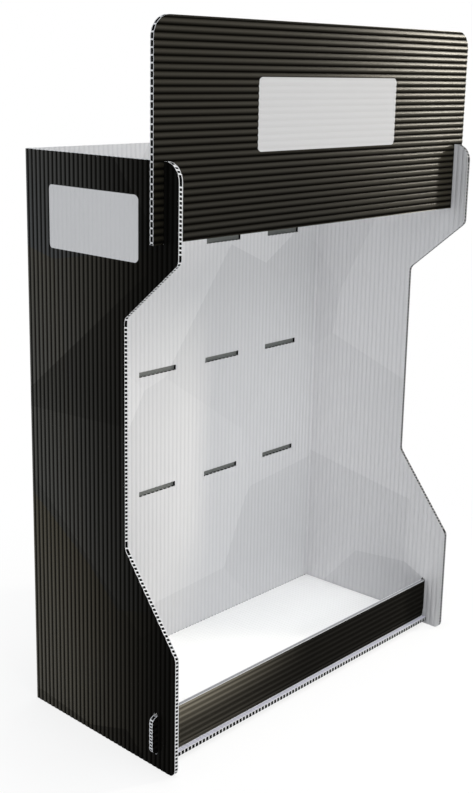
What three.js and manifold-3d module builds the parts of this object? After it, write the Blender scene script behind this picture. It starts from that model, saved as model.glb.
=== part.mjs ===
// Counter display box made of fluted twin-wall plastic sheet, in millimetres, +Z up.
// X runs across the front, -Y faces the shopper, and the box stands on Z = 0 with X and Y centred.
// Three sheets slot together: the folded body, the front lip and the header board.

import * as THREE from 'three';
import { mergeVertices } from 'three/addons/utils/BufferGeometryUtils.js';
import Module from 'manifold-3d';

const wasm = await Module();
wasm.setup();

// Sheet
const SHEET = 4;                // thickness over the ridges
const FLUTE_PITCH = 5.4;        // from rib to rib
const RIB = 0.5;                // wall between two flutes
const LINER = 0.5;              // skin over a flute
const RIDGE = 0.45;             // height of the ridge that each flute raises on the faces
const EDGE_WALL = 1.2;          // least solid margin beside the outermost flute
const FOLD_RADIUS = 3;          // outside radius of a fold

// Body
const BODY_WIDTH = 387;
const BODY_DEPTH = 185;
const BODY_HEIGHT = 500;
const RECESS_DEPTH = 60.6;      // how far the sides step back from their front edge
const FOOT_TOP = 105.5;         // where the foot's front edge ends
const RECESS_BOTTOM = 182.6;
const RECESS_TOP = 374.8;
const EAR_BOTTOM = 425.2;       // where the ear's front edge starts
const EAR_CORNER = 14.5;        // radius of the ear's top corner
const FOOT_CORNER = 7;          // radius at the bottom of the foot
const STEP_CORNER = 8;          // radius of the other corners of the outline

// Header board
const HEADER_SETBACK = 16.2;    // from the sides' front edge to the board's front face
const HEADER_BOTTOM = 438.8;
const HEADER_TOP = 604.3;
const HEADER_OVERHANG = 10.2;   // past each side
const HEADER_CORNER = 16;

// Front lip
const LIP_SETBACK = 20.8;       // from the sides' front edge to the lip's front face
const LIP_TOP = 47.4;
const TAB_BOTTOM = 14.5;
const TAB_OVERHANG = 5.4;       // past each side
const TAB_CORNER = 5;
const LIP_CORNER = 4;           // radius at the ends of the lip's lower edge

// Base, folded forward from the foot of the back
const BASE_SETBACK = 16.6;      // from the sides' front edge to the base's front edge
const BASE_RISE = 4;            // how much higher the base's front is than its fold
const BASE_PITCH = 4.2;         // from rib to rib in the base

// Hook slots in the back
const SLOT_WIDTH = 48;
const SLOT_HEIGHT = 5.2;
const SLOT_COLUMNS = 4;
const SLOT_PITCH = 88.5;        // from column to column
const SLOT_ROWS = [165.5, 284.4, 403.4];
const SLOT_FLOOR = 0.4;         // skin that is left behind a slot, under the ridges

// Fits
const SEAT_GAP = 0.3;           // between two sheets that rest on or in each other
const SLOT_PLAY = 0.3;          // each side of a sheet in a slot
const CUT_OVERRUN = 2;          // how far a cutter runs past what it cuts
const ARC_STEPS = 5;

// Places that follow from the sizes
const sideX = BODY_WIDTH / 2;
const frontY = -BODY_DEPTH / 2;
const backY = BODY_DEPTH / 2;
const innerX = sideX - SHEET;
const headerY = frontY + HEADER_SETBACK;
const lipY = frontY + LIP_SETBACK;
const innerY = backY - SHEET;
const baseX = innerX - SEAT_GAP;
const baseLength = BODY_DEPTH - BASE_SETBACK;
const baseAngle = Math.asin(BASE_RISE / baseLength);
const lipBottom = SHEET + BASE_RISE + SEAT_GAP;

// A sheet's section, along its length and through its thickness

function fluteStarts(length, pitch) {
  const count = Math.max(1, Math.floor((length - 2 * EDGE_WALL) / pitch));
  const margin = (length - count * pitch) / 2;
  return Array.from({ length: count }, (_, i) => margin + i * pitch);
}

// A face has a crest over each flute and a valley over each rib
function facePoints({ length, pitch = FLUTE_PITCH, plain = false }, face, inward) {
  if (plain) {
    return [[0, face], [length, face]];
  }
  const points = [[0, face]];
  const valley = face + inward * RIDGE;
  const starts = fluteStarts(length, pitch);
  for (const start of starts) {
    points.push([start, valley], [start + pitch / 2, face]);
  }
  points.push([starts.at(-1) + pitch, valley], [length, face]);
  return points;
}

function fluteOutlines({ length, pitch = FLUTE_PITCH }) {
  const low = RIDGE + LINER;
  const high = SHEET - RIDGE - LINER;
  return fluteStarts(length, pitch).map((start) => [
    [start + RIB / 2, low],
    [start + pitch - RIB / 2, low],
    [start + pitch - RIB / 2, high],
    [start + RIB / 2, high],
  ]);
}

// A sheet that folds along its flutes, drawn in plan and raised by its depth.
// Each leg starts on the inner face, at from, and runs along a heading, with its outer face on the left.
// A plain leg has no ridges on its faces.
function foldedSheet(legs, depth) {
  const place = (leg, [along, through]) => new THREE.Vector2(
    leg.from[0] + Math.cos(leg.heading) * along - Math.sin(leg.heading) * through,
    leg.from[1] + Math.sin(leg.heading) * along + Math.cos(leg.heading) * through,
  );
  const outer = [];
  const inner = [];
  const flutes = [];
  legs.forEach((leg, i) => {
    const outerFace = facePoints(leg, SHEET, -1);
    const innerFace = facePoints(leg, 0, 1);
    outer.push(...outerFace.map((point) => place(leg, point)));
    inner.push(...innerFace.slice(i > 0 ? 1 : 0).map((point) => place(leg, point)));
    for (const outline of fluteOutlines(leg)) {
      const flute = new THREE.Shape(outline.map((point) => place(leg, point)));
      flutes.push(prism(flute, depth + 2 * CUT_OVERRUN));
    }
    if (i < legs.length - 1) {
      const centre = SHEET - FOLD_RADIUS;
      for (let step = 0; step <= ARC_STEPS; step += 1) {
        const turn = (step / ARC_STEPS) * Math.PI / 2;
        const along = leg.length + centre + FOLD_RADIUS * Math.sin(turn);
        outer.push(place(leg, [along, centre + FOLD_RADIUS * Math.cos(turn)]));
      }
    }
  });
  const hollow = wasm.Manifold.union(flutes).translate([0, 0, -CUT_OVERRUN]);
  return prism(new THREE.Shape([...outer, ...inner.reverse()]), depth).subtract(hollow);
}

// An outline through corner points [a, b, radius], with each corner rounded where it has a radius
function roundedOutline(corners) {
  const points = corners.map(([a, b]) => new THREE.Vector2(a, b));
  const outline = [];
  corners.forEach(([, , radius = 0], i) => {
    const corner = points[i];
    if (radius === 0) {
      outline.push(corner);
      return;
    }
    const before = points.at(i - 1).clone().sub(corner).normalize();
    const after = points[(i + 1) % points.length].clone().sub(corner).normalize();
    const half = Math.acos(before.dot(after)) / 2;
    const reach = radius / Math.tan(half);
    const centre = before.clone().add(after).setLength(radius / Math.sin(half)).add(corner);
    const first = corner.clone().addScaledVector(before, reach).sub(centre);
    const last = corner.clone().addScaledVector(after, reach).sub(centre);
    const sweep = Math.atan2(first.cross(last), first.dot(last));
    for (let step = 0; step <= ARC_STEPS; step += 1) {
      outline.push(first.clone().rotateAround(new THREE.Vector2(), sweep * step / ARC_STEPS).add(centre));
    }
  });
  return new THREE.Shape(outline);
}

// Solids

function prism(shape, depth) {
  return toSolid(new THREE.ExtrudeGeometry(shape, { depth, bevelEnabled: false }));
}

function toSolid(geometry) {
  const bare = geometry.clone();
  bare.deleteAttribute('normal');
  bare.deleteAttribute('uv');
  const merged = mergeVertices(bare, 1e-4);
  const mesh = new wasm.Mesh({
    numProp: 3,
    vertProperties: new Float32Array(merged.attributes.position.array),
    triVerts: new Uint32Array(merged.index.array),
  });
  return new wasm.Manifold(mesh);
}

function toGeometry(solid) {
  const mesh = solid.getMesh();
  const geometry = new THREE.BufferGeometry();
  geometry.setAttribute('position', new THREE.BufferAttribute(new Float32Array(mesh.vertProperties), 3));
  geometry.setIndex(new THREE.BufferAttribute(new Uint32Array(mesh.triVerts), 1));
  const split = geometry.toNonIndexed();
  split.computeVertexNormals();
  return split;
}

const ACROSS = new THREE.Vector3(1, 0, 0);
const BACKWARD = new THREE.Vector3(0, 1, 0);
const FORWARD = new THREE.Vector3(0, -1, 0);
const UP = new THREE.Vector3(0, 0, 1);

// What was drawn in plan and raised: the drawing goes into Y and Z, and the rise along X
function turnAlongX(solid, fromX) {
  const turn = new THREE.Matrix4().makeBasis(BACKWARD, UP, ACROSS).setPosition(fromX, 0, 0);
  return solid.transform(turn.elements);
}

// The drawing goes into X and Z, and the rise runs forward from backEnd
function turnAlongY(solid, backEnd) {
  const turn = new THREE.Matrix4().makeBasis(ACROSS, UP, FORWARD).setPosition(0, backEnd, 0);
  return solid.transform(turn.elements);
}

const alongX = (shape, fromX, toX) => turnAlongX(prism(shape, toX - fromX), fromX);
const alongY = (shape, fromY, toY) => turnAlongY(prism(shape, toY - fromY), toY);

function box(lowX, lowY, lowZ, highX, highY, highZ) {
  const geometry = new THREE.BoxGeometry(highX - lowX, highY - lowY, highZ - lowZ);
  geometry.translate((lowX + highX) / 2, (lowY + highY) / 2, (lowZ + highZ) / 2);
  return toSolid(geometry);
}

// The folded body: left side, back and right side, with the base folded from the foot of the back

function frontCutter() {
  const recessY = frontY + RECESS_DEPTH;
  const clear = frontY - CUT_OVERRUN;
  const above = BODY_HEIGHT + CUT_OVERRUN;
  const outline = roundedOutline([
    [clear, -CUT_OVERRUN],
    [frontY + 2 * FOOT_CORNER, -CUT_OVERRUN],
    [frontY + 2 * FOOT_CORNER, 0],
    [frontY, 0, FOOT_CORNER],
    [frontY, FOOT_TOP, STEP_CORNER],
    [recessY, RECESS_BOTTOM, STEP_CORNER],
    [recessY, RECESS_TOP, STEP_CORNER],
    [frontY, EAR_BOTTOM, STEP_CORNER],
    [frontY, BODY_HEIGHT, EAR_CORNER],
    [frontY + 2 * EAR_CORNER, BODY_HEIGHT],
    [frontY + 2 * EAR_CORNER, above],
    [clear, above],
  ]);
  return alongX(outline, -sideX - CUT_OVERRUN, sideX + CUT_OVERRUN);
}

function headerSlot() {
  return box(
    -sideX - CUT_OVERRUN, headerY - SLOT_PLAY, HEADER_BOTTOM - SEAT_GAP,
    sideX + CUT_OVERRUN, headerY + SHEET + SLOT_PLAY, BODY_HEIGHT + CUT_OVERRUN,
  );
}

function tabSlot() {
  const low = lipY - SLOT_PLAY;
  const high = lipY + SHEET + SLOT_PLAY;
  const radius = (high - low) / 2 - 0.01;
  const outline = roundedOutline([
    [low, TAB_BOTTOM - SEAT_GAP - radius, radius],
    [high, TAB_BOTTOM - SEAT_GAP - radius, radius],
    [high, LIP_TOP + SEAT_GAP + radius, radius],
    [low, LIP_TOP + SEAT_GAP + radius, radius],
  ]);
  return alongX(outline, -sideX - CUT_OVERRUN, sideX + CUT_OVERRUN);
}

function hookSlot(centre, height) {
  return box(
    centre - SLOT_WIDTH / 2, innerY - CUT_OVERRUN, height - SLOT_HEIGHT / 2,
    centre + SLOT_WIDTH / 2, backY - RIDGE - SLOT_FLOOR, height + SLOT_HEIGHT / 2,
  );
}

function hookSlots() {
  const slots = [];
  for (const height of SLOT_ROWS) {
    for (let column = 0; column < SLOT_COLUMNS; column += 1) {
      slots.push(hookSlot((column - (SLOT_COLUMNS - 1) / 2) * SLOT_PITCH, height));
    }
  }
  return wasm.Manifold.union(slots);
}

function sidesAndBack() {
  const sideLength = BODY_DEPTH - SHEET;
  const sheet = foldedSheet([
    { from: [-innerX, frontY], heading: Math.PI / 2, length: sideLength },
    { from: [-innerX, innerY], heading: 0, length: 2 * innerX },
    { from: [innerX, innerY], heading: -Math.PI / 2, length: sideLength },
  ], BODY_HEIGHT);
  const footCut = box(
    -innerX, innerY - CUT_OVERRUN, -CUT_OVERRUN,
    innerX, backY + CUT_OVERRUN, SHEET,
  );
  return sheet
    .subtract(frontCutter())
    .subtract(headerSlot())
    .subtract(tabSlot())
    .subtract(hookSlots())
    .subtract(footCut);
}

function base() {
  // drawn level from the fold, then raised at the front about the fold's inner edge
  const panel = { from: [-baseX, 0], heading: 0, length: 2 * baseX, pitch: BASE_PITCH, plain: true };
  const degrees = -THREE.MathUtils.radToDeg(baseAngle);
  return turnAlongY(foldedSheet([panel], baseLength - SHEET), innerY)
    .translate([0, -innerY, -SHEET])
    .rotate([degrees, 0, 0])
    .translate([0, innerY, SHEET]);
}

function baseFold() {
  // the pressed corner of the fold, from the base's end to the foot of the back
  const reach = 0.2;
  const outline = roundedOutline([
    [innerY - reach, SHEET * Math.sin(baseAngle) / 2],
    [backY, 0, FOLD_RADIUS],
    [backY, SHEET + reach],
    [innerY, SHEET + reach],
    [innerY - reach, SHEET],
  ]);
  return alongX(outline, -baseX, baseX);
}

const bodyWrap = () => sidesAndBack().add(baseFold()).add(base());

// The lip across the front, with a tab on each end

function frontLip() {
  const tabX = sideX + TAB_OVERHANG;
  const lipX = innerX - SEAT_GAP;
  const panel = { from: [lipY + SHEET, lipBottom], heading: Math.PI / 2, length: LIP_TOP - lipBottom };
  const outline = roundedOutline([
    [-lipX, lipBottom, LIP_CORNER],
    [lipX, lipBottom, LIP_CORNER],
    [lipX, TAB_BOTTOM],
    [tabX, TAB_BOTTOM, TAB_CORNER],
    [tabX, LIP_TOP, TAB_CORNER],
    [-tabX, LIP_TOP, TAB_CORNER],
    [-tabX, TAB_BOTTOM, TAB_CORNER],
    [-lipX, TAB_BOTTOM],
  ]);
  return turnAlongX(foldedSheet([panel], 2 * tabX), -tabX)
    .intersect(alongY(outline, lipY - CUT_OVERRUN, lipY + SHEET + CUT_OVERRUN));
}

// The board that stands in the sides' open slots

function headerBoard() {
  const boardX = sideX + HEADER_OVERHANG;
  const height = HEADER_TOP - HEADER_BOTTOM;
  const panel = { from: [headerY + SHEET, HEADER_BOTTOM], heading: Math.PI / 2, length: height };
  const outline = roundedOutline([
    [-boardX, HEADER_BOTTOM],
    [boardX, HEADER_BOTTOM],
    [boardX, HEADER_TOP, HEADER_CORNER],
    [-boardX, HEADER_TOP, HEADER_CORNER],
  ]);
  return turnAlongX(foldedSheet([panel], 2 * boardX), -boardX)
    .intersect(alongY(outline, headerY - CUT_OVERRUN, headerY + SHEET + CUT_OVERRUN));
}

// Materials and scene

const blackPrint = () => new THREE.MeshStandardMaterial({ color: 0x14130f, roughness: 0.35, metalness: 0 });

function piece(name, solid, material) {
  const mesh = new THREE.Mesh(toGeometry(solid), material);
  mesh.name = name;
  return mesh;
}

const displayBox = new THREE.Group();
displayBox.name = 'counter_display_box';
displayBox.add(piece('body_wrap', bodyWrap(), blackPrint()));
displayBox.add(piece('front_lip', frontLip(), blackPrint()));
displayBox.add(piece('header_board', headerBoard(), blackPrint()));

export default displayBox;
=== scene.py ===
# Counter display box of fluted plastic sheet: its finish, fine ridges and cut edges, in metres.
# Three sheets: the folded body with its slotted back and base, the front lip and the header board.
import math

import bmesh
import bpy
from mathutils import Matrix, Vector


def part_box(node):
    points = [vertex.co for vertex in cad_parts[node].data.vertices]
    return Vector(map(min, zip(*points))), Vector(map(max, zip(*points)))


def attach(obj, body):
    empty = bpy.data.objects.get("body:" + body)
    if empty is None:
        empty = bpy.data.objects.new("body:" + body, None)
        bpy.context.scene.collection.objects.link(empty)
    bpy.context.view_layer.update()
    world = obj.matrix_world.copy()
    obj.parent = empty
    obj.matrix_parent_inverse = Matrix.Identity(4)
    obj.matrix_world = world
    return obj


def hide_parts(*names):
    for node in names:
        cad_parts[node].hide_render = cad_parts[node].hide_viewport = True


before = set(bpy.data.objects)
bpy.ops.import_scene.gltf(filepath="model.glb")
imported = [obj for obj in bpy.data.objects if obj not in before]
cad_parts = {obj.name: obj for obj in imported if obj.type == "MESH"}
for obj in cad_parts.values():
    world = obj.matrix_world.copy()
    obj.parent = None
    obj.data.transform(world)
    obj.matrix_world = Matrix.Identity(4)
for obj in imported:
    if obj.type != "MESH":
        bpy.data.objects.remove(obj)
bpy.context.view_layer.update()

MM = 0.001

# Sheet
SHEET = 4 * MM                  # thickness over the ridges
SKIN = 0.6 * MM                 # from a ridge's crest to the flat inside of the skin
RIDGE = 0.45 * MM               # height of a ridge
RIDGE_POWER = 0.75              # below 1, a ridge is fuller than a half sine wave
RIDGE_STEPS = 8                 # facets across one ridge
FLUTE_PITCH = 5.4 * MM
BASE_PITCH = 4.2 * MM
EDGE_WALL = 1.2 * MM            # least margin beside the outermost flute

# Cut edges: white lands with the dark ground of the flutes behind them, a painted shade
RUNG = 1.2 * MM                 # width of a land where a cut crosses the flutes
TAB_RUNG_PITCH = 2.8 * MM       # from land to land on the ends of the lip's tabs
SLIT_PITCH = 3.3 * MM           # from land to land where a cut runs along the flutes
SLIT_RUNG = 1.2 * MM            # width of such a land
SLIT_LEAN = 0.5 * MM            # how much it slants
SHORT_STRETCH = 3               # in margins: a shorter stretch of cut keeps a land that overruns it
LAND_DEPTH = 0.25 * MM          # how far the lands reach into the sheet
SHADE = 0.3 * MM                # thickness of the dark ground
SLIT_CROSSING = 0.8             # a cut crosses the flutes if its heading has more than this across them
BOARD_CROSSING = 0.2            # the same for a board, whose rounded corners show flutes too

# Outlines
FOLD_STEPS = 8                  # facets in a fold
ARC_STEPS = 8
ARC_GAP = 0.01 * MM             # flat left between the two arcs of a round end
SAME_CUT = 0.02 * MM            # a cut nearer than this to a corner of the outline is left out
SHORTEST_EDGE = 0.001 * MM
DECIMALS = 7                    # of a metre, kept in an outline

# Body
RECESS_DEPTH = 60.6 * MM
FOOT_TOP = 105.5 * MM
RECESS_BOTTOM = 182.6 * MM
RECESS_TOP = 374.8 * MM
EAR_BOTTOM = 425.2 * MM
EAR_CORNER = 14.5 * MM
FOOT_CORNER = 7 * MM
STEP_CORNER = 8 * MM
SEAT_GAP = 0.3 * MM
SLOT_PLAY = 0.3 * MM            # on each side of the header board and of a tab in their slots
BASE_SETBACK = 16.6 * MM
BASE_RISE = 4 * MM
FOLD_RADIUS = 3 * MM
FOLD_TOE = (0.2 * MM, 0.1 * MM)  # how far the pressed fold reaches under the base, and its height there
FOLD_RIDGE = 0.5                # the fold gets the painted sheen and shade of a ridge's flank

# Hook slots in the back
HOOK_WIDTH = 48 * MM
HOOK_HEIGHT = 5.2 * MM
HOOK_COLUMNS = 4
HOOK_PITCH = 88.5 * MM
HOOK_ROWS = (165.5 * MM, 284.4 * MM, 403.4 * MM)
HOOK_FLOOR = 0.85 * MM          # from the back's outer face to the bottom of a slot

# Lip and header board
TAB_BOTTOM = 14.5 * MM
TAB_CORNER = 5 * MM
LIP_CORNER = 4 * MM
HEADER_CORNER = 16 * MM

# Places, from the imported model
body_low, body_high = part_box("body_wrap")
header_low, header_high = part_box("header_board")
lip_low, lip_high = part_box("front_lip")
side_x = body_high.x
inner_x = side_x - SHEET
front_y, back_y = body_low.y, body_high.y
body_height = body_high.z
header_y, header_bottom, header_top = header_low.y, header_low.z, header_high.z
lip_y, lip_bottom, lip_top = lip_low.y, lip_low.z, lip_high.z
base_x = inner_x - SEAT_GAP
fold_y = back_y - SHEET
base_length = back_y - front_y - BASE_SETBACK
base_angle = math.asin(BASE_RISE / base_length)
side_length = fold_y - front_y
back_length = 2 * inner_x


# Outlines, in a sheet's own flat coordinates: u across the flutes, v along them

def rounded(corners):
    """An outline through (u, v) or (u, v, radius) corners, with each radius as an arc."""
    points = [Vector(corner[:2]) for corner in corners]
    outline = []
    for i, corner in enumerate(corners):
        point = points[i]
        radius = corner[2] if len(corner) == 3 else 0
        if radius == 0:
            outline.append(point)
            continue
        before = (points[i - 1] - point).normalized()
        after = (points[(i + 1) % len(points)] - point).normalized()
        half = before.angle(after) / 2
        centre = point + (before + after).normalized() * (radius / math.sin(half))
        first = point + before * (radius / math.tan(half)) - centre
        last = point + after * (radius / math.tan(half)) - centre
        sweep = math.atan2(first.x * last.y - first.y * last.x, first.dot(last))
        for step in range(ARC_STEPS + 1):
            turn = sweep * step / ARC_STEPS
            turned = Vector((
                first.x * math.cos(turn) - first.y * math.sin(turn),
                first.x * math.sin(turn) + first.y * math.cos(turn),
            ))
            outline.append(turned + centre)
    return [Vector((round(point.x, DECIMALS), round(point.y, DECIMALS))) for point in outline]


def rib_lines(start, length, pitch):
    """The ribs of one run of sheet, evenly spaced about its middle."""
    count = max(1, math.floor((length - 2 * EDGE_WALL) / pitch))
    margin = (length - count * pitch) / 2
    return [start + margin + i * pitch for i in range(count + 1)]


class Flutes:
    """The ribs of a sheet, as one or more runs along u, and the ridges between them."""

    def __init__(self, runs, pitch=FLUTE_PITCH):
        self.pitch = pitch
        self.groups = [rib_lines(start, length, pitch) for start, length in runs]

    def lines(self):
        return [line for group in self.groups for line in group]

    def cuts(self):
        """Where a ridged face is divided, so that each ridge is rounded."""
        marks = []
        for group in self.groups:
            for line in group[:-1]:
                marks += [line + self.pitch * step / RIDGE_STEPS for step in range(RIDGE_STEPS)]
            marks.append(group[-1])
        return marks

    def sink(self, u):
        """How far the face lies below the crests at u."""
        for group in self.groups:
            if group[0] <= u <= group[-1]:
                share = (u - group[0]) / self.pitch
                return RIDGE * (1 - abs(math.sin(math.pi * share)) ** RIDGE_POWER)
        return 0


# Meshes

def height_at(edge, u):
    """The v at which an edge of the outline meets a line at u."""
    start, end = edge
    if u == start.x:
        return start.y
    if u == end.x:
        return end.y
    return round(start.y + (end.y - start.y) * (u - start.x) / (end.x - start.x), DECIMALS)


def crossings(loops, u):
    """The edges of the outline that a line at u meets, from low v to high v."""
    found = []
    for loop in loops:
        for edge in zip(loop, loop[1:] + loop[:1]):
            if min(edge[0].x, edge[1].x) < u < max(edge[0].x, edge[1].x):
                found.append(edge)
    return sorted(found, key=lambda edge: height_at(edge, u))


def strips(loops, cuts):
    """The outline as strips between neighbouring cuts, each a list of (u, v) corners."""
    corners = sorted({point.x for loop in loops for point in loop})
    marks = list(corners)
    for cut in cuts:
        nearest = min(abs(cut - corner) for corner in corners)
        if corners[0] < cut < corners[-1] and nearest > SAME_CUT:
            marks.append(cut)
    marks.sort()
    spans = []
    stops = {mark: set() for mark in marks}
    for left, right in zip(marks, marks[1:]):
        found = crossings(loops, (left + right) / 2)
        for below, above in zip(found[::2], found[1::2]):
            ends = [height_at(edge, mark) for mark in (left, right) for edge in (below, above)]
            stops[left].update(ends[:2])
            stops[right].update(ends[2:])
            spans.append((left, right, ends))
    faces = []
    for left, right, (low_left, high_left, low_right, high_right) in spans:
        up = sorted(v for v in stops[right] if low_right <= v <= high_right)
        down = sorted((v for v in stops[left] if low_left <= v <= high_left), reverse=True)
        corner_list = [(right, v) for v in up] + [(left, v) for v in down]
        if len(corner_list) > 2:
            faces.append(corner_list)
    return faces


def add_skin(bm, loops, flutes, place, outside, folds=()):
    """A closed ridged skin on the sheet's outer or inner face, with its rim in the second material.

    The points of its face keep their height on the ridge, which the painted shade in the grooves and the
    painted sheen on the crests follow.
    """
    faces = strips(loops, flutes.cuts() + list(folds))
    height = bm.verts.layers.float.new("ridge")
    shown, hidden = {}, {}
    for corner_list in faces:
        for u, v in corner_list:
            if (u, v) not in shown:
                sink = flutes.sink(u)
                face_depth, back_depth = (sink, SKIN) if outside else (SHEET - sink, SHEET - SKIN)
                shown[u, v] = bm.verts.new(place(u, v, face_depth))
                shown[u, v][height] = 1 - sink / RIDGE
                hidden[u, v] = bm.verts.new(place(u, v, back_depth))
    edge_use = {}
    for corner_list in faces:
        face = bm.faces.new([shown[corner] for corner in corner_list])
        face.smooth = True
        under = bm.faces.new([hidden[corner] for corner in reversed(corner_list)])
        under.material_index = 1
        for i, corner in enumerate(corner_list):
            following = corner_list[(i + 1) % len(corner_list)]
            edge_use[corner, following] = True
    for corner, following in edge_use:
        if (following, corner) not in edge_use:
            rim = bm.faces.new([shown[following], shown[corner], hidden[corner], hidden[following]])
            rim.material_index = 1
            bm.edges.get((shown[corner], shown[following])).smooth = False


BLOCK_FACES = (
    (3, 2, 1, 0), (4, 5, 6, 7),
    (0, 1, 5, 4), (1, 2, 6, 5), (2, 3, 7, 6), (3, 0, 4, 7),
)


def add_block(bm, corners, slot=0):
    """A six-sided block from two rings of four corners."""
    verts = [bm.verts.new(corner) for corner in corners]
    for indices in BLOCK_FACES:
        bm.faces.new([verts[i] for i in indices]).material_index = slot


def add_land(web, place, foot, head, inward, width, slot=0):
    """A land across a cut edge, from a (u, v) point on one skin to a point on the other."""
    along = Vector((-inward.y, inward.x)) * (width / 2)
    ring = ((foot, SKIN, -1), (foot, SKIN, 1), (head, SHEET - SKIN, 1), (head, SHEET - SKIN, -1))
    corners = []
    for reach in (0, LAND_DEPTH):
        for point, depth, side in ring:
            corner = point + along * side + inward * reach
            corners.append(place(corner.x, corner.y, depth))
    add_block(web, corners, slot)


def add_ground(shade, place, start, end, inward):
    """The dark ground of the flutes, a painted shade behind the lands of one stretch of cut edge."""
    near, far = inward * LAND_DEPTH, inward * (LAND_DEPTH + SHADE)
    corners = []
    for depth in (SKIN, SHEET - SKIN):
        for point in (start + near, end + near, end + far, start + far):
            corners.append(place(point.x, point.y, depth))
    add_block(shade, corners)


def cut_edges(loop, hole):
    """Each straight stretch of an outline: its ends, heading, way into the sheet and distance along."""
    area = sum(a.x * b.y - a.y * b.x for a, b in zip(loop, loop[1:] + loop[:1]))
    side = 1 if (area > 0) != hole else -1
    travelled = 0
    for start, end in zip(loop, loop[1:] + loop[:1]):
        heading = end - start
        length = heading.length
        if length > SHORTEST_EDGE:
            heading.normalize()
            yield start, end, heading, Vector((-heading.y, heading.x)) * side, travelled
            travelled += length


def add_rungs(web, place, start, end, inward, lines):
    """The lands of a cut across the flutes, one on each line."""
    for line in lines:
        share = (line - start.x) / (end.x - start.x)
        if 0 <= share <= 1:
            point = start.lerp(end, share)
            add_land(web, place, point, point, inward, RUNG)


def add_slit_lands(web, place, start, heading, length, inward, travelled):
    """The slanting lands of a cut along the flutes, evenly spaced round the outline."""
    margin = (SLIT_RUNG + SLIT_LEAN) / 2
    lean = heading * (SLIT_LEAN / 2)
    first = math.ceil(travelled / SLIT_PITCH)
    last = math.floor((travelled + length) / SLIT_PITCH)
    for step in range(first, last + 1):
        reach = step * SLIT_PITCH - travelled
        if length < SHORT_STRETCH * margin or margin < reach < length - margin:
            point = start + heading * reach
            add_land(web, place, point - lean, point + lean, inward, SLIT_RUNG)


def fill_edges(web, shade, loop, flutes, place, hole=False, along="slits", rungs=None):
    """The lands inside each cut edge, and the dark flutes behind them.

    A cut along the flutes shows slits, is closed, or is open with no lands. rungs are the places of
    the lands where a cut crosses the flutes, if they aren't the ribs themselves.
    """
    least_crossing = BOARD_CROSSING if along == "closed" else SLIT_CROSSING
    for start, end, heading, inward, travelled in cut_edges(loop, hole):
        length = (end - start).length
        if abs(heading.x) > least_crossing:
            add_rungs(web, place, start, end, inward, rungs or flutes.lines())
        elif along == "closed":
            middle = start.lerp(end, 0.5)
            add_land(web, place, middle, middle, inward, length, slot=1)
        elif along == "slits":
            add_slit_lands(web, place, start, heading, length, inward, travelled)
        pieces = max(1, round(length / flutes.pitch))
        stops = [start.lerp(end, j / pieces) for j in range(pieces + 1)]
        for near_stop, far_stop in zip(stops, stops[1:]):
            add_ground(shade, place, near_stop, far_stop, inward)


def finish_piece(name, bm, materials, node):
    """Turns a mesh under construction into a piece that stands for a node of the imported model."""
    bmesh.ops.recalc_face_normals(bm, faces=bm.faces)
    mesh = bpy.data.meshes.new(name)
    bm.to_mesh(mesh)
    bm.free()
    piece = bpy.data.objects.new(name, mesh)
    bpy.context.scene.collection.objects.link(piece)
    for material in materials:
        mesh.materials.append(material)
    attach(piece, "root")
    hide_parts(node)


# Shader maths

class Value:
    """A socket that carries a number. Arithmetic on it adds Math nodes."""

    def __init__(self, shader, socket):
        self.shader = shader
        self.socket = socket

    def _math(self, operation, *operands):
        inputs = dict(enumerate(operands))
        node = self.shader.node("ShaderNodeMath", {"operation": operation}, inputs)
        return Value(self.shader, node.outputs[0])

    def __add__(self, other):
        return self._math("ADD", self, other)

    __radd__ = __add__

    def __sub__(self, other):
        return self._math("SUBTRACT", self, other)

    def __rsub__(self, other):
        return self._math("SUBTRACT", other, self)

    def __mul__(self, other):
        return self._math("MULTIPLY", self, other)

    __rmul__ = __mul__

    def __gt__(self, other):
        return self._math("GREATER_THAN", self, other)

    def __lt__(self, other):
        return self._math("LESS_THAN", self, other)

    def __abs__(self):
        return self._math("ABSOLUTE", self)

    def at_least(self, other):
        return self._math("MAXIMUM", self, other)

    def at_most(self, other):
        return self._math("MINIMUM", self, other)

    def power(self, other):
        return self._math("POWER", self, other)

    def squared(self):
        return self._math("MULTIPLY", self, self)

    def root(self):
        return self._math("SQRT", self)

    def share(self, low, high):
        """0 at low, 1 at high, smooth between and held outside."""
        node = self.shader.node(
            "ShaderNodeMapRange", {"interpolation_type": "SMOOTHSTEP"},
            {"Value": self, "From Min": low, "From Max": high},
        )
        return Value(self.shader, node.outputs["Result"])

    def between(self, low, high):
        """low where this is 0, high where it is 1."""
        return self * (high - low) + low


FIELD_SPREAD, FIELD_LEAST = 0.75, 0.12  # range and least tone of the fields, before the fade
FIELD_FADE = (3.1, 1.7, -3.6)           # change of tone for each metre from a field's middle
BUMP_HEIGHT = 0.2 * MM


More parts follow.
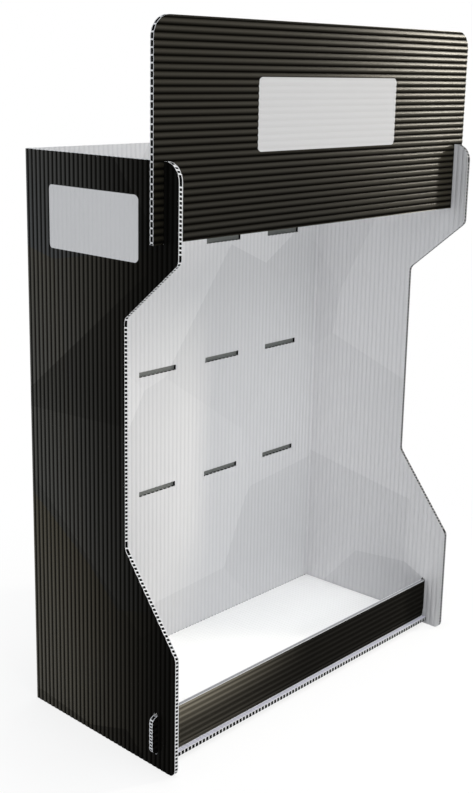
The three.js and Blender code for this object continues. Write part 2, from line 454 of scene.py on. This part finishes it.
class Shader:
    """The node tree of a material or a world, built from a few short calls."""

    def __init__(self, owner, output="ShaderNodeOutputMaterial"):
        owner.use_nodes = True
        self.owner = owner
        self.tree = owner.node_tree
        self.tree.nodes.clear()
        self.output = self.node(output)

    def node(self, kind, settings=None, inputs=None):
        """Adds a node, makes its settings and then fills its sockets with values or links."""
        node = self.tree.nodes.new(kind)
        for name, setting in (settings or {}).items():
            setattr(node, name, setting)
        for name, value in (inputs or {}).items():
            self.feed(node.inputs[name], value)
        return node

    def feed(self, socket, value):
        if isinstance(value, Value):
            self.tree.links.new(value.socket, socket)
        elif isinstance(value, bpy.types.NodeSocket):
            self.tree.links.new(value, socket)
        else:
            socket.default_value = value

    def vector(self, operation, first, second):
        """A Vector Math node on two vectors."""
        return self.node("ShaderNodeVectorMath", {"operation": operation}, {0: first, 1: second})

    def position(self):
        return self.node("ShaderNodeTexCoord").outputs["Object"]

    def parts(self, vector):
        """The x, y and z of a vector."""
        split = self.node("ShaderNodeSeparateXYZ", inputs={"Vector": vector})
        return [Value(self, output) for output in split.outputs]

    def axes(self):
        return self.parts(self.position())

    def ridge(self):
        """The height on the ridge, from 0 in a groove to 1 on a crest."""
        node = self.node("ShaderNodeAttribute", {"attribute_name": "ridge"})
        return Value(self, node.outputs["Fac"])

    def noise(self, scale, detail=2):
        place = self.position()
        node = self.node("ShaderNodeTexNoise", None, {"Vector": place, "Scale": scale, "Detail": detail})
        return Value(self, node.outputs[0])

    def bump(self, height, strength):
        """A normal for fine relief, BUMP_HEIGHT high at full strength."""
        inputs = {"Height": height, "Strength": strength, "Distance": BUMP_HEIGHT}
        return self.node("ShaderNodeBump", None, inputs).outputs[0]

    def mix(self, factor, first, second, blend="MIX"):
        """A colour between two colours."""
        settings = {"data_type": "RGBA", "blend_type": blend}
        return self.node("ShaderNodeMix", settings, {"Factor": factor, 6: first, 7: second}).outputs[2]

    def fields(self, scale, seed):
        """A tone from about 0 to 1 for each flat-sided field, with a slight fade across it."""
        moved = self.vector("ADD", self.position(), seed).outputs[0]
        cells = self.node("ShaderNodeTexVoronoi", None, {"Vector": moved, "Scale": scale})
        tone = self.node("ShaderNodeSeparateColor", inputs={"Color": cells.outputs["Color"]})
        offset = self.vector("SUBTRACT", moved, cells.outputs["Position"]).outputs[0]
        fade = self.vector("DOT_PRODUCT", offset, FIELD_FADE).outputs["Value"]
        return Value(self, tone.outputs[0]) * FIELD_SPREAD + Value(self, fade) + FIELD_LEAST

    def surface(self, **inputs):
        """The finished material, from the values of its surface's sockets."""
        names = {name.replace("_", " "): value for name, value in inputs.items()}
        return self.show(self.node("ShaderNodeBsdfPrincipled", None, names))

    def two_surfaces(self, factor, first, second):
        inputs = {0: factor, 1: first.outputs[0], 2: second.outputs[0]}
        return self.show(self.node("ShaderNodeMixShader", None, inputs))

    def show(self, node):
        self.tree.links.new(node.outputs[0], self.output.inputs["Surface"])
        return self.owner


# Colours
# painted shade in the grooves of the black print
GROOVE_SHADE_INK = (0.0022, 0.002, 0.0016, 1)
DARK_INK = (0.004, 0.0042, 0.0042, 1)
# painted sheen on the crests of the black print, warm and cool
WARM_SHEEN = (0.090, 0.078, 0.050, 1)
COOL_SHEEN = (0.066, 0.073, 0.078, 1)
# painted reflection on the lip, cream
LIP_REFLECTION = (0.26, 0.235, 0.18, 1)
SIDE_GREY = (0.62, 0.62, 0.63, 1)
HEADER_GREY = (0.50, 0.50, 0.51, 1)
WHITE_LOW = (0.48, 0.485, 0.50, 1)
WHITE_HIGH = (0.78, 0.78, 0.79, 1)
WHITE_GROOVE_SHADE = (0.90, 0.90, 0.91, 1)
# the base's white near the lip, and with painted light at the back
BASE_NEAR = (0.88, 0.88, 0.88, 1)
BASE_FAR_PAINTED_LIGHT = (0.95, 0.95, 0.95, 1)
# cool painted shade on the base in front of the lip
BASE_FRONT_SHADE = (0.60, 0.60, 0.70, 1)
CUT_WHITE = (0.70, 0.705, 0.72, 1)
CUT_GREY = (0.56, 0.57, 0.59, 1)
# painted shade: a darker copy of the cut plastic, for the closed cut edges
CLOSED_SHADE_LIGHT = (0.26, 0.265, 0.28, 1)
CLOSED_SHADE_DARK = (0.18, 0.185, 0.20, 1)
# painted shade on the cut edges of the right wall
RIGHT_CUT_SHADE = (0.27, 0.275, 0.29, 1)
# painted shade seen through the hook slots
HOOK_SHADE_DARK = (0.13, 0.14, 0.13, 1)
HOOK_SHADE_LIGHT = (0.20, 0.21, 0.20, 1)
# painted shade inside the flutes
FLUTE_BLACK = (0.003, 0.003, 0.003, 1)
FLUTE_DARK = (0.006, 0.006, 0.006, 1)
FULL_WHITE = (1, 1, 1, 1)

# Blank fields, each as a middle and half its size
HEADER_FIELD = ((0, 532 * MM), (91 * MM, 29 * MM))
SIDE_FIELD = ((6 * MM, 447 * MM), (54 * MM, 26 * MM))
FIELD_CORNER = 4 * MM
FIELD_BLUR = 0.15 * MM          # softness of a field's edge, to each side

# How a shader tells the sheets apart by place
PLACE_MARGIN = 1 * MM
FACE_BAND = 0.3 * MM            # a little over half the depth that a ridged face takes up

# Scale and seed of each pattern of tonal fields
INK_PATTERN = (5.5, (0.31, 0.62, 0.17))
HUE_PATTERN = (4.2, (0.83, 0.27, 0.51))
WHITE_PATTERN = (6.5, (0.10, 0.45, 0.83))

# Tones of the print, least and most, as shares of the way from the dark ink to the light painted sheen;
# beside the print fields they hold painted light
INK_FIELDS = (0.55, 1.0)        # one tonal field against another
SIDE_PAINTED_LIGHT = (0.05, 1.25)       # painted light, from a side's front edge to the back
SIDE_START = 10 * MM            # where they start, behind the front edge
LIP_PAINTED_REFLECTION = (0.2, 1.05)         # painted reflection up the lip, at its left end
LIP_START = 14 * MM             # where they start, above the lip's lower edge
LIP_SPAN = (-190 * MM, 10 * MM)  # where the lip's painted reflection fades, from left to right
LIP_LEAST = 0.04                # tone at its dark right end
LIP_GROOVES = 0.35              # least share of the crests' painted sheen in the lip's grooves, which lightens their painted shade
HEADER_LEAST = 0.14             # tone of the header board before what it gains
HEADER_PAINTED_HIGHLIGHT = 0.25            # painted highlight that the header board gains towards its right end
HEADER_SPAN = (-60 * MM, 190 * MM)  # where it gains that
HEADER_PAINTED_TOP_LIGHT = 0.2                 # painted light that it gains towards its top
HEADER_RISE = 100 * MM          # where that starts, below the board
HUE_LEAST, HUE_RISE = 0.2, 1.6  # share of the cool painted sheen, and its gain for each metre of height
COAT_LEAST, COAT_BY_TONE, COAT_ON_HEADER = 0.04, 0.6, 0.3   # gloss of the crests
CREST_INK, CREST_COAT = 2.0, 3.0        # powers that keep the grey painted sheen and the gloss to the crests, leaving painted shade in the grooves
TILT_SPAN = (-0.35, 0.3)        # upward part of a normal, from a ridge's underside to its upper side
UNDERSIDE_SHADE = 0.3                 # share of the painted sheen and of the gloss on an underside, which leaves it in painted shade

# Tones of the white sheet, between its low and high white
WHITE_FIELDS = (0.56, 0.80)     # one tonal field against another
RIGHT_PAINTED_LIGHT = 0.12               # painted light on the right wall, over the rest
RIGHT_SHADE_LOSS = 0.45               # painted shade towards that wall's front edge
CORNER_SHADE_LOSS = 0.5               # painted shade towards the low left corner of the display
CORNER_X, CORNER_Z = 60 * MM, 400 * MM  # where that starts
BASE_GRAIN = 0.1                # share of grain in the base's tone


def rounded_field(across, up, centre, half_size):
    """1 inside a rounded rectangle in a plane and 0 outside it."""
    reach_across = (abs(across - centre[0]) - (half_size[0] - FIELD_CORNER)).at_least(0)
    reach_up = (abs(up - centre[1]) - (half_size[1] - FIELD_CORNER)).at_least(0)
    distance = (reach_across.squared() + reach_up.squared()).root()
    return 1 - distance.share(FIELD_CORNER - FIELD_BLUR, FIELD_CORNER + FIELD_BLUR)


def painted_top_light(shader):
    """Painted top light: less than 1 on a ridge's underside, which is left in painted shade, 1 on its upper
    side and between them on an upright one.
    """
    normal = shader.node("ShaderNodeNewGeometry").outputs["Normal"]
    return shader.parts(normal)[2].share(*TILT_SPAN).between(UNDERSIDE_SHADE, 1)


def ink_tone_and_painted_light(shader, on_header, on_lip):
    """How grey the crests are, on the sides, the header board and the lip: print fields, with painted light
    towards the back of the sides, a painted reflection on the lip and a painted highlight and top light on
    the header board.
    """
    x, y, z = shader.axes()
    fields = shader.fields(*INK_PATTERN).at_least(0).at_most(1).between(*INK_FIELDS)
    side = fields * y.share(front_y + SIDE_START, back_y).between(*SIDE_PAINTED_LIGHT)
    up_lip = z.share(lip_bottom + LIP_START, lip_top).between(*LIP_PAINTED_REFLECTION)
    lip = (1 - x.share(*LIP_SPAN)) * up_lip + LIP_LEAST
    up_header = z.share(header_bottom - HEADER_RISE, header_top)
    header = x.share(*HEADER_SPAN) * HEADER_PAINTED_HIGHLIGHT + up_header * HEADER_PAINTED_TOP_LIGHT + HEADER_LEAST
    return side * (1 - on_header) * (1 - on_lip) + on_header * header + on_lip * lip


def black_print():
    """Black varnished print: its grooves stay dull and carry painted shade, and its crests shine and are
    greyer with a painted sheen.
    """
    shader = Shader(bpy.data.materials.new("black_print"))
    x, y, z = shader.axes()
    crest, top_light_paint = shader.ridge(), painted_top_light(shader)
    on_header = (z > header_bottom) * (abs(y - (header_y + RIDGE / 2)) < FACE_BAND)
    on_lip = (abs(x) < inner_x) * (z < lip_top + PLACE_MARGIN) * (abs(y - lip_y) < SHEET / 2)
    on_side = abs(x) > side_x - PLACE_MARGIN
    tone = ink_tone_and_painted_light(shader, on_header, on_lip)
    # painted sheen: warm, turning cool by a pattern of fields and more so higher up
    hue = shader.fields(*HUE_PATTERN) * (z * HUE_RISE + HUE_LEAST)
    sheen_ink = shader.mix(hue * (1 - on_header), WARM_SHEEN, COOL_SHEEN)
    sheen_ink = shader.mix(on_lip, sheen_ink, LIP_REFLECTION)
    # painted sheen on the crests and painted shade in the grooves
    inked = (crest.power(CREST_INK) * top_light_paint).at_least(on_lip * LIP_GROOVES)
    ink = shader.mix(inked, GROOVE_SHADE_INK, shader.mix(tone, DARK_INK, sheen_ink))
    header_field = rounded_field(x, z, *HEADER_FIELD) * on_header
    side_field = rounded_field(y, z, *SIDE_FIELD) * on_side
    field = header_field.at_least(side_field)
    coat = tone * COAT_BY_TONE + on_header * COAT_ON_HEADER + COAT_LEAST
    return shader.surface(
        Base_Color=shader.mix(field, ink, shader.mix(on_header, SIDE_GREY, HEADER_GREY)),
        Roughness=shader.noise(scale=6, detail=3).between(0.45, 0.55),
        Specular_IOR_Level=0.0,
        Coat_Weight=crest.power(CREST_COAT) * top_light_paint * coat * (1 - field),
        Coat_Roughness=0.2,
        Normal=shader.bump(shader.noise(scale=260), strength=0.05),
    )


def white_sheet():
    """White print of flat tonal fields, a little greyer with painted shade in its grooves, with painted
    light on the right wall and painted shade towards that wall's front edge and the low left corner.
    """
    shader = Shader(bpy.data.materials.new("white_sheet"))
    x, y, z = shader.axes()
    on_right = x > inner_x - PLACE_MARGIN
    # painted light on the right wall, and painted shade towards its front edge
    right_front_shade = on_right * (1 - y.share(front_y, back_y))
    # painted shade towards the low left corner
    low_left = (1 - x.share(-inner_x, CORNER_X)) * (1 - z.share(0, CORNER_Z)) * (1 - on_right)
    tone = shader.fields(*WHITE_PATTERN).between(*WHITE_FIELDS) + on_right * RIGHT_PAINTED_LIGHT
    tone = tone - right_front_shade * RIGHT_SHADE_LOSS - low_left * CORNER_SHADE_LOSS
    # painted shade in the grooves
    grooves = shader.mix(shader.ridge(), WHITE_GROOVE_SHADE, FULL_WHITE)
    return shader.surface(
        Base_Color=shader.mix(1.0, shader.mix(tone, WHITE_LOW, WHITE_HIGH), grooves, "MULTIPLY"),
        Roughness=shader.noise(scale=9, detail=3).between(0.42, 0.57),
        Specular_IOR_Level=0.3,
    )


def plain_white():
    """The unprinted white of the base, with painted light towards the back and a cool painted shade where
    it lies in front of the lip.
    """
    shader = Shader(bpy.data.materials.new("plain_white"))
    y = shader.axes()[1]
    grain = shader.noise(scale=60, detail=3)
    # painted light, lighter from the lip to the back
    tone = y.share(lip_y, back_y) * (1 - BASE_GRAIN) + grain * BASE_GRAIN
    colour = shader.mix(tone, BASE_NEAR, BASE_FAR_PAINTED_LIGHT)
    # cool painted shade in front of the lip
    colour = shader.mix(y.share(lip_y - PLACE_MARGIN, lip_y + PLACE_MARGIN), BASE_FRONT_SHADE, colour)
    return shader.surface(Base_Color=colour, Roughness=0.5)


def cut_plastic(name, dark, light):
    """Bare plastic, a little torn by the knife, with painted shade on the body's right wall."""
    shader = Shader(bpy.data.materials.new(name))
    x = shader.axes()[0]
    grain = shader.noise(scale=900, detail=3)
    # painted shade on the body's right wall
    on_right = (x > inner_x - PLACE_MARGIN) * (x < side_x + PLACE_MARGIN)
    colour = shader.mix(on_right, shader.mix(grain, dark, light), RIGHT_CUT_SHADE)
    return shader.surface(Base_Color=colour, Roughness=0.55, Normal=shader.bump(grain, strength=0.2))


def hook_slot_shade():
    """Painted shade on the inside of the back's outer skin, seen through a hook slot."""
    shader = Shader(bpy.data.materials.new("slot_bottom"))
    colour = shader.mix(shader.noise(scale=300), HOOK_SHADE_DARK, HOOK_SHADE_LIGHT)
    return shader.surface(Base_Color=colour, Roughness=0.7)


def flute_shade():
    """Painted shade: the darkness inside the flutes."""
    shader = Shader(bpy.data.materials.new("flute_shade"))
    colour = shader.mix(shader.noise(scale=400), FLUTE_BLACK, FLUTE_DARK)
    return shader.surface(Base_Color=colour, Roughness=1.0, Specular_IOR_Level=0.0)


PRINT = black_print()
WHITE = white_sheet()
PLAIN = plain_white()
CUT = cut_plastic("cut_plastic", CUT_GREY, CUT_WHITE)
# painted shade on the closed cut edges
CLOSED_SHADE = cut_plastic("closed_cut_shade", CLOSED_SHADE_DARK, CLOSED_SHADE_LIGHT)
HOOK_SHADE = hook_slot_shade()
SHADED = flute_shade()


# The folded body. Its fold is the flat length of a corner: SHEET outside, and 0 on the inner face.

def wrap(u, depth, fold):
    """The plan of the folded body: u runs round it from the left side's front edge."""
    reach = SHEET - depth
    if u <= side_length:
        return -side_x + depth, front_y + u
    u -= side_length
    if u < fold:
        turn = math.pi / 2 * u / fold
        return -inner_x - reach * math.cos(turn), fold_y + reach * math.sin(turn)
    u -= fold
    if u <= back_length:
        return -inner_x + u, back_y - depth
    u -= back_length
    if u < fold:
        turn = math.pi / 2 * u / fold
        return inner_x + reach * math.sin(turn), fold_y + reach * math.cos(turn)
    u -= fold
    return side_x - depth, fold_y - u


def body_place(fold):
    """Maps the flat body to its folded place."""
    def place(u, v, depth):
        return Vector((*wrap(u, depth, fold), v))
    return place


def body_outline(fold):
    """The outline of the body laid flat, and the slots for the lip's tabs."""
    total = 2 * side_length + back_length + 2 * fold
    slot_front = header_y - SLOT_PLAY - front_y
    slot_back = slot_front + SHEET + 2 * SLOT_PLAY
    slot_bottom = header_bottom - SEAT_GAP
    left = [
        (slot_back, body_height),
        (slot_back, slot_bottom),
        (slot_front, slot_bottom),
        (slot_front, body_height),
        (0, body_height, EAR_CORNER),
        (0, EAR_BOTTOM, STEP_CORNER),
        (RECESS_DEPTH, RECESS_TOP, STEP_CORNER),
        (RECESS_DEPTH, RECESS_BOTTOM, STEP_CORNER),
        (0, FOOT_TOP, STEP_CORNER),
        (0, 0, FOOT_CORNER),
        (side_length + fold, 0),
        (side_length + fold, SHEET),
    ]
    right = [(total - corner[0], *corner[1:]) for corner in reversed(left)]
    loops = [rounded(left + right)]
    tab_front = lip_y - SLOT_PLAY - front_y
    tab_back = tab_front + SHEET + 2 * SLOT_PLAY
    radius = (tab_back - tab_front) / 2 - ARC_GAP
    low = TAB_BOTTOM - SEAT_GAP - radius
    high = lip_top + SEAT_GAP + radius
    for front, back in ((tab_front, tab_back), (total - tab_back, total - tab_front)):
        corners = ((front, low), (back, low), (back, high), (front, high))
        loops.append(rounded([(*corner, radius) for corner in corners]))
    return loops


def hook_slots():
    """The outlines of the hook slots on the inner face laid flat."""
    middle = side_length + back_length / 2
    for height in HOOK_ROWS:
        for column in range(HOOK_COLUMNS):
            centre = middle + (column - (HOOK_COLUMNS - 1) / 2) * HOOK_PITCH
            left, right = centre - HOOK_WIDTH / 2, centre + HOOK_WIDTH / 2
            low, high = height - HOOK_HEIGHT / 2, height + HOOK_HEIGHT / 2
            yield rounded([(left, low), (right, low), (right, high), (left, high)])


def body_flutes(fold):
    """The flutes of the left side, the back and the right side, with none in the corners."""
    return Flutes([
        (0, side_length),
        (side_length + fold, back_length),
        (side_length + 2 * fold + back_length, side_length),
    ])


def make_body():
    """The printed outer skin, the white inner skin with the hook slots, and all that lies between."""
    fold = SHEET
    flutes, outline, place = body_flutes(fold), body_outline(fold), body_place(fold)
    folds = []
    for start in (side_length, side_length + fold + back_length):
        folds += [start + fold * step / FOLD_STEPS for step in range(FOLD_STEPS + 1)]
    printed = bmesh.new()
    add_skin(printed, outline, flutes, place, True, folds)
    finish_piece("body_printed_skin", printed, [PRINT, CUT], "body_wrap")

    inner = bmesh.new()
    inner_flutes, inner_place = body_flutes(0), body_place(0)
    slots = list(hook_slots())
    corners = [side_length, side_length + back_length]
    add_skin(inner, body_outline(0) + slots, inner_flutes, inner_place, False, corners)
    finish_piece("body_white_skin", inner, [WHITE, CUT], "body_wrap")

    web, shade = bmesh.new(), bmesh.new()
    for k, loop in enumerate(outline):
        fill_edges(web, shade, loop, flutes, place, hole=k > 0)
    for loop in slots:
        fill_edges(web, shade, loop, inner_flutes, inner_place, hole=True, along="open")
    finish_piece("body_cut_web", web, [CUT], "body_wrap")
    finish_piece("body_flute_shade", shade, [SHADED], "body_wrap")

    bottoms = bmesh.new()
    for loop in slots:
        depths = (HOOK_FLOOR, HOOK_FLOOR + SHADE)
        add_block(bottoms, [inner_place(*point, depth) for depth in depths for point in loop])
    finish_piece("hook_slot_bottoms", bottoms, [HOOK_SHADE], "body_wrap")


# The base and the pressed fold at the foot of the back

def base_place(u, v, depth):
    """v runs forward from the fold, and depth runs up from the underside."""
    along = Vector((0, -math.cos(base_angle), math.sin(base_angle)))
    upward = Vector((0, math.sin(base_angle), math.cos(base_angle)))
    return Vector((u, fold_y, SHEET)) + along * v - upward * (SHEET - depth)


def make_base():
    """The base, which rises a little from the fold to its front edge."""
    reach = base_length - SHEET
    loop = rounded([(-base_x, 0), (base_x, 0), (base_x, reach), (-base_x, reach)])
    flutes = Flutes([(-base_x, 2 * base_x)], BASE_PITCH)
    top = bmesh.new()
    add_skin(top, [loop], flutes, base_place, False)
    finish_piece("base_top_skin", top, [PLAIN, CUT], "body_wrap")
    under = bmesh.new()
    add_skin(under, [loop], flutes, base_place, True)
    finish_piece("base_under_skin", under, [PRINT, PRINT], "body_wrap")
    web, shade = bmesh.new(), bmesh.new()
    fill_edges(web, shade, loop, flutes, base_place)
    finish_piece("base_cut_web", web, [CUT], "body_wrap")
    finish_piece("base_flute_shade", shade, [SHADED], "body_wrap")


def make_fold():
    """A solid bar with a rounded outer corner, from one side to the other."""
    fold = bmesh.new()
    height = fold.verts.layers.float.new("ridge")
    profile = rounded([
        (fold_y - FOLD_TOE[0], FOLD_TOE[1]), (back_y, 0, FOLD_RADIUS), (back_y, SHEET), (fold_y, SHEET),
    ])
    left, right = [[fold.verts.new((x, *point)) for point in profile] for x in (-base_x, base_x)]
    fold.faces.new(left)
    fold.faces.new(reversed(right))
    for i in range(len(profile)):
        j = (i + 1) % len(profile)
        fold.faces.new([left[j], left[i], right[i], right[j]])
    for point in fold.verts:
        point[height] = FOLD_RIDGE
    finish_piece("base_fold", fold, [PRINT], "body_wrap")


# The lip and the header board stand upright, with their flutes across the display

def make_board(name, node, front, corners, span, rungs=None):
    """An upright sheet, printed on the face at front. span is the start and length of its run of flutes."""
    def place(u, v, depth):
        return Vector((v, front + depth, u))

    loop = rounded(corners)
    flutes = Flutes([span])
    printed = bmesh.new()
    add_skin(printed, [loop], flutes, place, True)
    finish_piece(name + "_printed_skin", printed, [PRINT, CUT], node)
    rear = bmesh.new()
    add_skin(rear, [loop], flutes, place, False)
    finish_piece(name + "_rear_skin", rear, [WHITE, CUT], node)
    web, shade = bmesh.new(), bmesh.new()
    fill_edges(web, shade, loop, flutes, place, along="closed", rungs=rungs)
    finish_piece(name + "_cut_web", web, [CUT, CLOSED_SHADE], node)
    finish_piece(name + "_flute_shade", shade, [SHADED], node)


def make_lip():
    """The lip, with a tab on each end that goes through the side."""
    tab_x = lip_high.x
    corners = [
        (lip_bottom, -base_x, LIP_CORNER), (TAB_BOTTOM, -base_x),
        (TAB_BOTTOM, -tab_x, TAB_CORNER), (lip_top, -tab_x, TAB_CORNER),
        (lip_top, tab_x, TAB_CORNER), (TAB_BOTTOM, tab_x, TAB_CORNER),
        (TAB_BOTTOM, base_x), (lip_bottom, base_x, LIP_CORNER),
    ]
    rungs = rib_lines(TAB_BOTTOM, lip_top - TAB_BOTTOM, TAB_RUNG_PITCH)
    make_board("lip", "front_lip", lip_y, corners, (lip_bottom, lip_top - lip_bottom), rungs)


def make_header():
    """The header board, with its two upper corners rounded."""
    board_x = header_high.x
    corners = [
        (header_bottom, -board_x), (header_top, -board_x, HEADER_CORNER),
        (header_top, board_x, HEADER_CORNER), (header_bottom, board_x),
    ]
    span = (header_bottom, header_top - header_bottom)
    make_board("header", "header_board", header_y, corners, span)


make_body()
make_base()
make_fold()
make_lip()
make_header()


# Floor, light and camera

FLOOR_GREY = (0.85, 0.85, 0.85, 1)
FLOOR_REACH = 12                # metres to each side
FLOOR_DROP = 0.3 * MM           # how far it lies below the display
SHADOW_REACH = (0.2, 0.5)       # metres from the middle, where the shadow fades out
NEAR_WHITE = 0.8                # share of plain white in the floor beside the display

AMBIENT = (0.95, 0.975, 1.0, 1)
AMBIENT_STRENGTH = 0.70

PHOTO_HEIGHT = 793              # pixels, as are the next three
FOCAL_PIXELS = 1190.7
OFF_CENTRE_X, OFF_CENTRE_Y = 5.9, -48.4
SENSOR = 36                     # millimetres
AZIMUTH, ELEVATION, ROLL = (math.radians(angle) for angle in (-46.706, 13.213, 1.018))
CAMERA_DISTANCE = 1074.3 * MM
CAMERA_TARGET = Vector((-37.6 * MM, 0, 321.5 * MM))
CLIP_START = 10 * MM


def seen_directly(shader):
    """1 for what the camera sees itself, in a mirror finish or through a clear one, and else 0."""
    path = shader.node("ShaderNodeLightPath")
    names = ("Is Camera Ray", "Is Glossy Ray", "Is Transmission Ray")
    camera_ray, glossy_ray, clear_ray = (Value(shader, path.outputs[name]) for name in names)
    return camera_ray.at_least(glossy_ray).at_least(clear_ray)


def make_floor():
    """A matt floor that turns to plain white away from the object."""
    shader = Shader(bpy.data.materials.new("floor_white"))
    x, y, _ = shader.axes()
    distance = (x.squared() + y.squared()).root()
    plain = seen_directly(shader) * distance.share(*SHADOW_REACH).between(NEAR_WHITE, 1)
    matt = shader.node("ShaderNodeBsdfDiffuse", None, {"Color": FLOOR_GREY})
    white = shader.node("ShaderNodeEmission", None, {"Color": FULL_WHITE, "Strength": 1.0})
    mesh = bpy.data.meshes.new("floor")
    signs = ((-1, -1), (1, -1), (1, 1), (-1, 1))
    corners = [(across * FLOOR_REACH, along * FLOOR_REACH, -FLOOR_DROP) for across, along in signs]
    mesh.from_pydata(corners, [], [(0, 1, 2, 3)])
    mesh.materials.append(shader.two_surfaces(plain, matt, white))
    floor = bpy.data.objects.new("floor", mesh)
    bpy.context.scene.collection.objects.link(floor)


def make_world():
    """Even light on the object, from a world that is plain white where it is seen directly."""
    world = bpy.data.worlds.new("studio")
    bpy.context.scene.world = world
    shader = Shader(world, "ShaderNodeOutputWorld")
    light = {"Color": AMBIENT, "Strength": AMBIENT_STRENGTH}
    ambient = shader.node("ShaderNodeBackground", None, light)
    white = shader.node("ShaderNodeBackground", None, {"Color": FULL_WHITE})
    shader.two_surfaces(seen_directly(shader), ambient, white)


def make_softbox(name, place, target, size, watts, colour=(1, 1, 1)):
    """An area lamp at a place, turned to a target."""
    light = bpy.data.lights.new(name, "AREA")
    light.shape = "RECTANGLE"
    light.size, light.size_y = size
    light.energy = watts
    light.color = colour
    lamp = bpy.data.objects.new(name, light)
    lamp.location = place
    lamp.rotation_mode = "QUATERNION"
    lamp.rotation_quaternion = (Vector(target) - Vector(place)).to_track_quat("-Z", "Y")
    bpy.context.scene.collection.objects.link(lamp)


def make_camera():
    """The camera at the photograph's viewing angle, with its small roll and shift."""
    camera_data = bpy.data.cameras.new("camera")
    camera_data.sensor_width = SENSOR
    camera_data.lens = FOCAL_PIXELS * SENSOR / PHOTO_HEIGHT
    camera_data.shift_x = OFF_CENTRE_X / PHOTO_HEIGHT
    camera_data.shift_y = OFF_CENTRE_Y / PHOTO_HEIGHT
    camera_data.clip_start = CLIP_START
    back = Vector((
        math.sin(AZIMUTH) * math.cos(ELEVATION),
        -math.cos(AZIMUTH) * math.cos(ELEVATION),
        math.sin(ELEVATION),
    ))
    right = (-back).cross(Vector((0, 0, 1))).normalized()
    upward = right.cross(-back)
    rolled_right = right * math.cos(ROLL) + upward * math.sin(ROLL)
    rolled_up = upward * math.cos(ROLL) - right * math.sin(ROLL)
    turn = Matrix((rolled_right, rolled_up, back)).transposed().to_4x4()
    turn.translation = CAMERA_TARGET + back * CAMERA_DISTANCE
    camera = bpy.data.objects.new("camera", camera_data)
    camera.matrix_world = turn
    bpy.context.scene.collection.objects.link(camera)
    bpy.context.scene.camera = camera


make_floor()
make_world()
make_camera()
make_softbox(
    "right_strip", place=(1.44, -0.90, 0.95), target=(0.18, -0.076, 0.54),
    size=(0.14, 0.8), watts=17, colour=(1.0, 0.93, 0.80),
)
make_softbox("front_top", place=(-0.25, -1.5, 1.7), target=(0, 0, 0.2), size=(1.2, 1.2), watts=9)
make_softbox("overhead", place=(0, 0.02, 2.4), target=(0, 0.02, 0), size=(0.7, 0.7), watts=20)

bpy.context.scene.view_settings.view_transform = "Standard"
